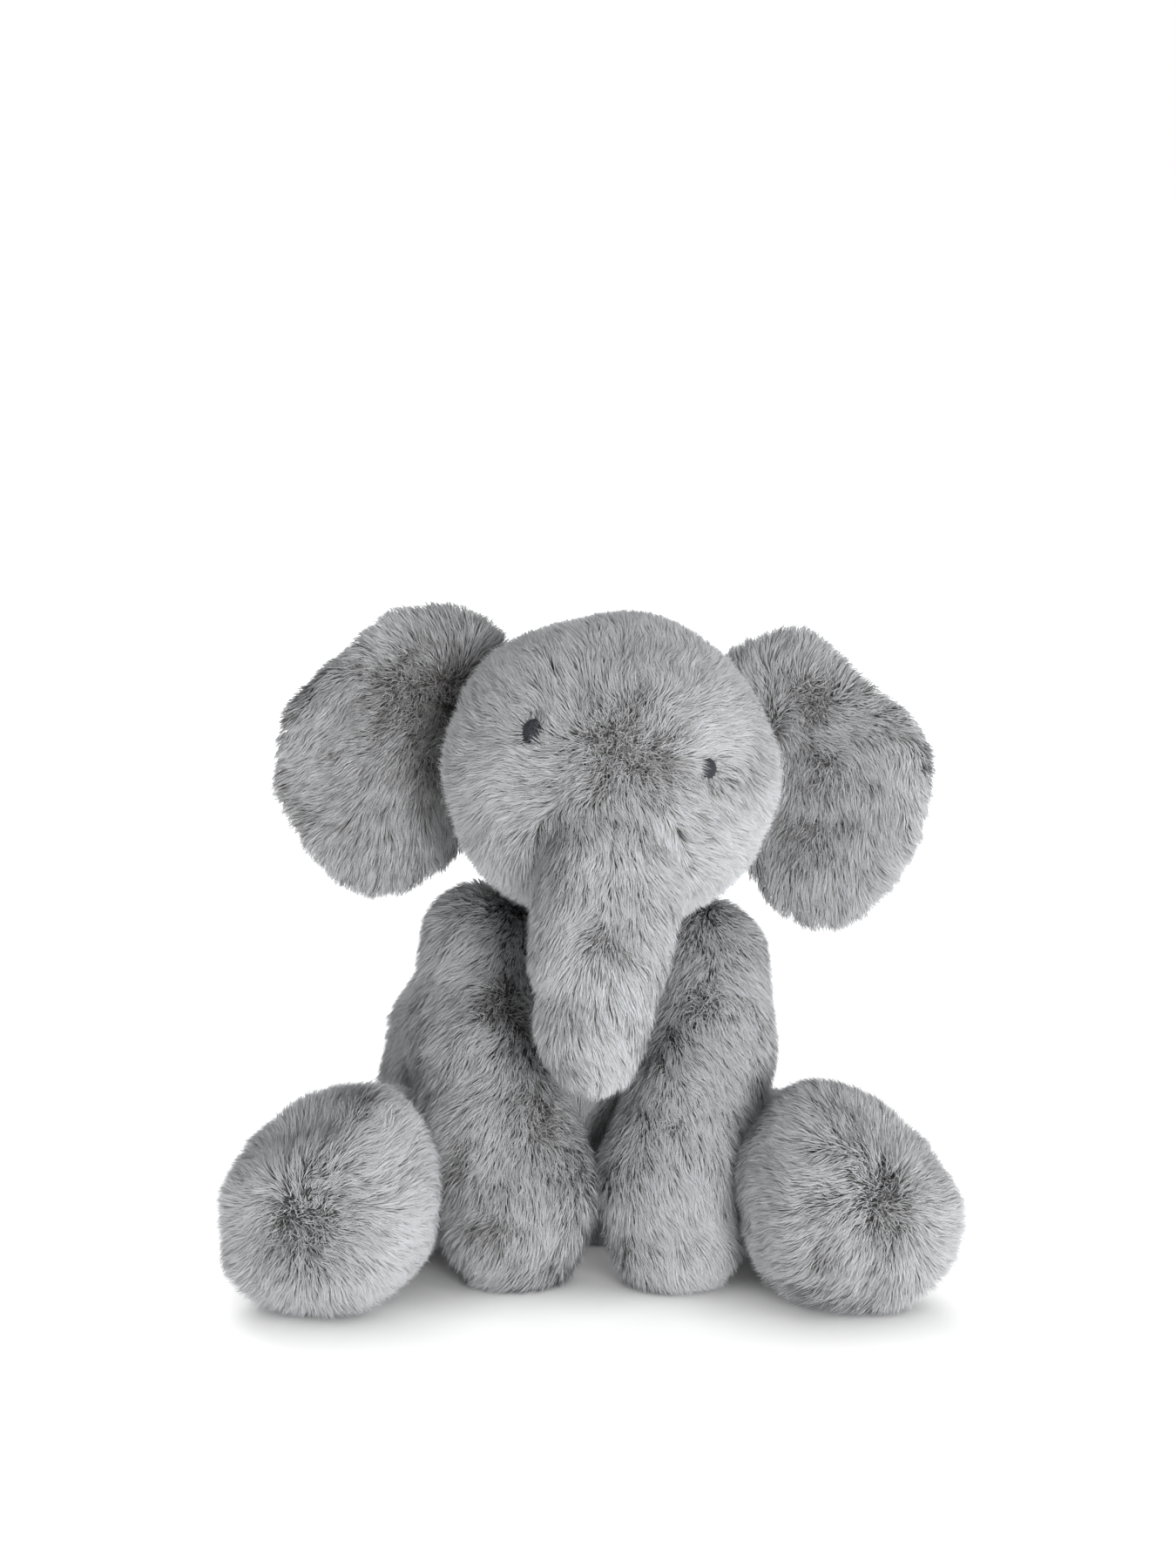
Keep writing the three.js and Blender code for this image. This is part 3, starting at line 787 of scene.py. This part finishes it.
def ear_coat(name, side):
    front = f"ear_front_panel_{name}"
    root = PIVOT[f"ear_{name}_flap"]
    partings = {
        "right": [(front, 0.62, 0.66, 19), (front, 0.72, 0.44, 15)],
        "left": [(front, 0.42, 0.74, 13), (front, 0.4, 0.3, 15), (front, 0.46, 0.52, 12)],
    }
    pulls = {
        "right": [
            (front, 0.86, 0.84, 20, (10, 0, -6)),
            (front, 0.17, 0.9, 22, (9, 0, -8)),
            (front, 0.4, 0.14, 28, (-1, 0, -5)),
            (front, 0.06, 0.32, 20, (-4, 0, 0)),
        ],
        "left": [
            (front, 0.16, 0.84, 20, (-14, 0, -4)),
            (front, 0.8, 0.94, 24, (-12, 0, -10)),
            (front, 0.94, 0.74, 18, (-3.5, 0, -1)),
            (front, 0.45, 0.12, 30, (1, 0, -8)),
            (front, 0.95, 0.3, 20, (4, 0, 0)),
        ],
    }
    return Coat(
        body=f"ear_{name}",
        flow=[(1.0, away(on_box(front, 0.5 - side * 0.28, 0.5, 0.62))), (0.35, along(DOWN))],
        parent="head",
        bend=(beside(root, (side, 0, 0), -2), beside(root, (side, 0, 0), 16)),
        partings=partings[name],
        bulges=[
            (front, 0.5 - side * 0.36, 0.8, 18, 8),
            (front, 0.5 - side * 0.3, 0.45, 14, 3),
        ],
        seam=0.1,
        groove=0.2,
        pulls=pulls[name],
        spread=2.5,
        lay=1.35,
        fill=0.3,
        # painted shade: both ears darker than most, the right ear, away from the key light, most
        tone=-0.15 + 0.1 * side,
    )


def arm_coat(name, side):
    front = f"arm_front_panel_{name}"
    shoulder = PIVOT[f"arm_{name}_swing"]
    partings = {
        "right": [
            (front, 0.55, 0.7, 10),
            (front, 0.76, 0.38, 11),
            (front, 0.3, 0.3, 9),
            (front, 0.5, 0.13, 10),
        ],
        "left": [(front, 0.6, 0.74, 9), (front, 0.4, 0.42, 5)],
    }
    outer = 0.5 + side * 0.36
    return Coat(
        body=f"arm_{name}",
        flow=[(1.0, along((side * 0.55, -0.1, -1)))],
        parent="torso",
        bend=(beside(shoulder, UP, 14), beside(shoulder, UP, -22)),
        partings=partings[name],
        bulges=[(front, outer, 0.86, 22, 1), (front, outer, 0.55, 24, 1.5)],
        pulls=[(front, 0.5 - side * 0.4, 0.24, 24, (-5 * side, 0, 0))],
        fill=0.55,
        # painted light and shade: the left arm, towards the key light, paler, the right arm
        # darker
        tone=0.05 + 0.15 * side,
    )


def leg_coat(name, side):
    sole = f"foot_sole_{name}"
    hip = PIVOT[f"leg_{name}_splay"]
    forward = np.array([side * 0.36, -0.93, 0])
    partings = {
        "right": [(sole, 0.36, 0.4, 13)],
        "left": [(sole, 0.62, 0.52, 11), (sole, 0.3, 0.34, 7)],
    }
    crown = on_box(sole, 0.5 + side * 0.12, 0.5, 0.42) - forward * 0.02
    outer, inner = 0.5 + side * 0.36, 0.5 - side * 0.42
    return Coat(
        body=f"leg_{name}",
        flow=[
            (1.0, away(crown)),
            (0.7, along(-forward)),
            (0.15, along(DOWN)),
            (1.4, beyond(crown, -forward, 22, DOWN)),
        ],
        swirl=1.4,
        parent="torso",
        bend=(beside(hip, forward, 4), beside(hip, forward, 40)),
        partings=partings[name],
        pulls=[
            (sole, outer, 0.93, 24, (-7 * side, 0, -11)),
            (sole, 0.5, 0.98, 18, (0, 0, -6)),
            (sole, outer, 0.2, 26, (2.5 * side, 0, -2)),
            (sole, inner, 0.94, 20, (0, 0, 13)),
        ],
        seam=0.15,
        groove=0.7,
        fill=0.65,
        # painted light and shade: the right leg a little paler, the left leg a little darker
        tone=-0.05 * side,
    )


FOREHEAD = on_box("head_stuffing", 0.54, 0.25, 0.5)
HEAD_CENTRE = box_centre("head_stuffing")
TRUNK_ROOT = PIVOT["trunk_lift"]
TRUNK_BEND = PIVOT["trunk_curl"]
NECK = PIVOT["neck_nod"]
TAIL_ROOT = PIVOT["tail_lift"]

COATS = [
    Coat(
        body="torso",
        flow=[(1.0, along(DOWN))],
        pulls=[("belly_panel", 0.5, 0.06, 30, (0, 14, 14))],
        fill=0.75,
    ),
    Coat(
        body="neck",
        flow=[(1.0, along(DOWN))],
        parent="torso",
        bend=(beside(NECK, UP, -18), beside(NECK, UP, 8)),
        rings=[(NECK, UP, 45, 8)],
    ),
    Coat(
        body="head",
        flow=[
            (1.0, away(FOREHEAD)),
            (0.12, along(DOWN)),
            (1.6, beyond(beside(HEAD_CENTRE, UP, 35), (0, 1, 0.35), 35, (0, 0.8, -1))),
        ],
        swirl=1.3,
        partings=[("head_stuffing", 0.5, 0.66, 18), ("head_stuffing", 0.62, 0.6, 14)],
        seam=0.1,
        groove=0.4,
        fill=0.85,
        # painted shade: the head's fur a little darker than most
        tone=-0.05,
    ),
    ear_coat("right", -1),
    ear_coat("left", 1),
    Coat(
        body="trunk",
        lay=1.7,
        flow=[(1.0, along((0, -0.1, -1)))],
        parent="head",
        bend=(beside(TRUNK_ROOT, (0, -0.6, -0.8), 6), beside(TRUNK_ROOT, (0, -0.6, -0.8), 36)),
        partings=[("trunk_stuffing", 0.5, 0.28, 8)],
        bulges=[("trunk_stuffing", 0.0, 0.8, 10, -5), ("trunk_stuffing", 1.0, 0.72, 10, -5)],
        rings=[(beside(TRUNK_BEND, UP, 16), (0, -0.2, -1), 11, 2)],
        seam=0.12,
        groove=0.4,
        fill=0.75,
    ),
    Coat(
        body="trunk_tip",
        flow=[(1.0, along((0, -0.1, -1)))],
        parent="trunk",
        bend=(beside(TRUNK_BEND, UP, 2), beside(TRUNK_BEND, UP, -18)),
        seam=0.12,
        groove=0.4,
        fill=0.7,
        lay=1.8,
        pile=9.5,
        # painted light: the trunk's end a little paler than most
        tone=0.05,
    ),
    arm_coat("right", -1),
    arm_coat("left", 1),
    leg_coat("right", -1),
    leg_coat("left", 1),
    Coat(
        body="tail",
        flow=[(1.0, along(DOWN))],
        parent="torso",
        bend=(beside(TAIL_ROOT, UP, 4), beside(TAIL_ROOT, UP, -8)),
        seam=0,
        groove=0,
        fill=0.5,
        pile=6,
        voxel=1.6,
    ),
]


# --------------------------------------------------------- eyes, tail, stage

def tube_mesh(name, lines, radius, sides=6):
    """Round threads along some lines of points."""
    points, faces = [], []
    for line in lines:
        first = len(points)
        line = np.array(line)
        direction = unit_rows(np.gradient(line, axis=0))
        helper = np.where(np.abs(direction[:, 2:]) < 0.8, [[0, 0, 1.0]], [[1.0, 0, 0]])
        across = unit_rows(np.cross(direction, helper))
        up = np.cross(across, direction)
        for centre, a, b in zip(line, across, up):
            for k in range(sides):
                angle = 2 * math.pi * k / sides
                points.append(centre + radius * (a * math.cos(angle) + b * math.sin(angle)))
        for i in range(len(line) - 1):
            for k in range(sides):
                m = (k + 1) % sides
                row = first + i * sides
                faces.append((row + k, row + m, row + sides + m, row + sides + k))
        faces.append([first + k for k in reversed(range(sides))])
        faces.append([first + (len(line) - 1) * sides + k for k in range(sides)])
    mesh = bpy.data.meshes.new(name)
    mesh.from_pydata([tuple(point) for point in points], [], faces)
    mesh.polygons.foreach_set("use_smooth", np.ones(len(mesh.polygons), bool))
    return mesh


def make_eye(node, half_sizes):
    """Satin stitches laid side by side across a padded oval."""
    outward = unit_rows((box_centre(node) - box_centre("head_stuffing"))[None])[0]
    upward = unit_rows(flattened(np.array([UP], float), outward[None]))[0]
    across = np.cross(upward, outward)
    centre = box_centre(node)
    half_wide, half_tall = np.array(half_sizes) * MM
    dome = 2.4 * MM
    pitch, radius = 0.62 * MM, 0.42 * MM
    rng = np.random.default_rng(SEED)
    rows = int(2 * half_tall / pitch)
    lines = []
    for row in range(rows):
        height = (row + 0.5) / rows * 2 - 1
        reach = math.sqrt(1 - height * height)
        line = []
        for step in np.linspace(-1, 1, 11):
            rise = max(0, 1 - (step * reach) ** 2 - height ** 2) ** 0.5
            place = centre + across * step * reach * half_wide + upward * height * half_tall
            line.append(place + outward * (dome * rise - 0.4 * MM + rng.normal(0, 0.05) * MM))
        lines.append(line)
    name = f"stitches_{node}"
    obj = new_object(name, tube_mesh(name, lines, radius))
    obj.data.materials.append(THREAD_MATERIAL)
    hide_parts(node)
    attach(obj, "head")


def hang(obj, coat):
    """Fixes a piece to its body where its skin is sewn to no other; otherwise bakes its place
    into its mesh and leaves it unattached.
    """
    if coat.parent:
        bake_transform(obj)
    else:
        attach(obj, coat.body)


def light_room(tree):
    """A white backdrop that lights the toy more from its left, and less from above."""
    place = tree.nodes.new("ShaderNodeTexCoord")
    split = tree.nodes.new("ShaderNodeSeparateXYZ")
    tree.links.new(place.outputs["Generated"], split.inputs["Vector"])
    across = tree.nodes.new("ShaderNodeMapRange")
    across.inputs["From Min"].default_value = -1
    tree.links.new(split.outputs["X"], across.inputs["Value"])
    from_right = ramp(tree, across.outputs["Result"], [
        (0.0, (0.3, 0.3, 0.3)),
        (1.0, (1.0, 1.0, 1.0)),
    ])
    from_above = ramp(tree, split.outputs["Z"], [
        (0.0, (0.88, 0.88, 0.88)),
        (0.3, (0.8, 0.8, 0.8)),
        (0.9, (0.6, 0.6, 0.6)),
    ])
    rays = tree.nodes.new("ShaderNodeLightPath")
    seen = tree.nodes.new("ShaderNodeMix")
    seen.data_type = "RGBA"
    seen.inputs["B"].default_value = (1, 1, 1, 1)
    tree.links.new(rays.outputs["Is Camera Ray"], seen.inputs["Factor"])
    tree.links.new(multiplied(tree, from_above, from_right), seen.inputs["A"])
    tree.links.new(seen.outputs["Result"], tree.nodes["Background"].inputs["Color"])


def make_stage():
    """A white floor that glows, with a painted contact shadow near the toy, soft light from the
    front right and from behind, and the camera.
    """
    mesh = bpy.data.meshes.new("floor")
    mesh.from_pydata(
        [(-FLOOR_REACH, -FLOOR_REACH, 0), (FLOOR_REACH, -FLOOR_REACH, 0),
         (FLOOR_REACH, FLOOR_REACH, 0), (-FLOOR_REACH, FLOOR_REACH, 0)],
        [],
        [(0, 1, 2, 3)],
    )
    floor = new_object("floor", mesh)
    material, tree, shader = new_material("studio_floor")
    shader.inputs["Base Color"].default_value = (0.9, 0.9, 0.9, 1)
    # painted contact shadow: the floor's glow dims where the toy is near
    nearby = tree.nodes.new("ShaderNodeAmbientOcclusion")
    nearby.inputs["Distance"].default_value = FLOOR_SHADE
    tree.links.new(nearby.outputs["Color"], shader.inputs["Emission Color"])
    shader.inputs["Emission Strength"].default_value = 0.6
    shader.inputs["Roughness"].default_value = 0.9
    mesh.materials.append(material)

    world = bpy.data.worlds.new("studio")
    bpy.context.scene.world = world
    world.use_nodes = True
    light_room(world.node_tree)

    for name, place, size, power in (
        ("key", (0.8, -2.2, 0.3), 0.8, 45),
        ("back", (-0.6, 2.0, 1.2), 1.6, 44),
    ):
        light = bpy.data.lights.new(name, "AREA")
        light.size = size
        light.energy = power
        lamp = bpy.data.objects.new(name, light)
        lamp.location = place
        aim = VIEW_CENTRE - Vector(place)
        lamp.rotation_euler = aim.to_track_quat("-Z", "Y").to_euler()
        bpy.context.scene.collection.objects.link(lamp)

    camera = bpy.data.objects.new("camera", bpy.data.cameras.new("camera"))
    bpy.context.scene.collection.objects.link(camera)
    tilt = math.radians(VIEW_TILT)
    back = Vector((0, -math.cos(tilt), math.sin(tilt)))
    camera.location = VIEW_CENTRE + back * VIEW_DISTANCE
    camera.rotation_euler = (math.radians(90 - VIEW_TILT + VIEW_RAISE), 0, 0)
    camera.data.lens = VIEW_LENS
    camera.data.sensor_width = 36
    bpy.context.scene.camera = camera
    bpy.context.scene.view_settings.view_transform = "Standard"


# -------------------------------------------------------------------- build

def without(shells, bodies):
    """One tree of every skin but some."""
    points, faces = [], []
    for body, (corners, polygons) in shells.items():
        if body not in bodies:
            faces.extend([i + len(points) for i in polygon] for polygon in polygons)
            points.extend(corners)
    return BVHTree.FromPolygons(points, faces)


SEWN_ON = {"trunk": "head", "trunk_tip": "head"}      # these continue another body's skin
groups = {}
for coat in COATS:
    groups.setdefault(SEWN_ON.get(coat.body, coat.body), []).append(coat)
skins = {}
for group in groups.values():
    skins.update(divided(make_skin(group), group))
shells = {
    body: (coordinates(obj.data).tolist(), [tuple(f.vertices) for f in obj.data.polygons])
    for body, obj in skins.items()
}
for number, coat in enumerate(COATS):
    skin = skins[coat.body]
    group = groups[SEWN_ON.get(coat.body, coat.body)]
    others = without(shells, [member.body for member in group])
    pieces = grow_pile(coat, skin, others, number)
    close_holes(skin.data)
    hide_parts(*coat.filling)
    for piece in [skin, *pieces]:
        hang(piece, coat)
for node, half_sizes in EYES.items():
    make_eye(node, half_sizes)
make_stage()
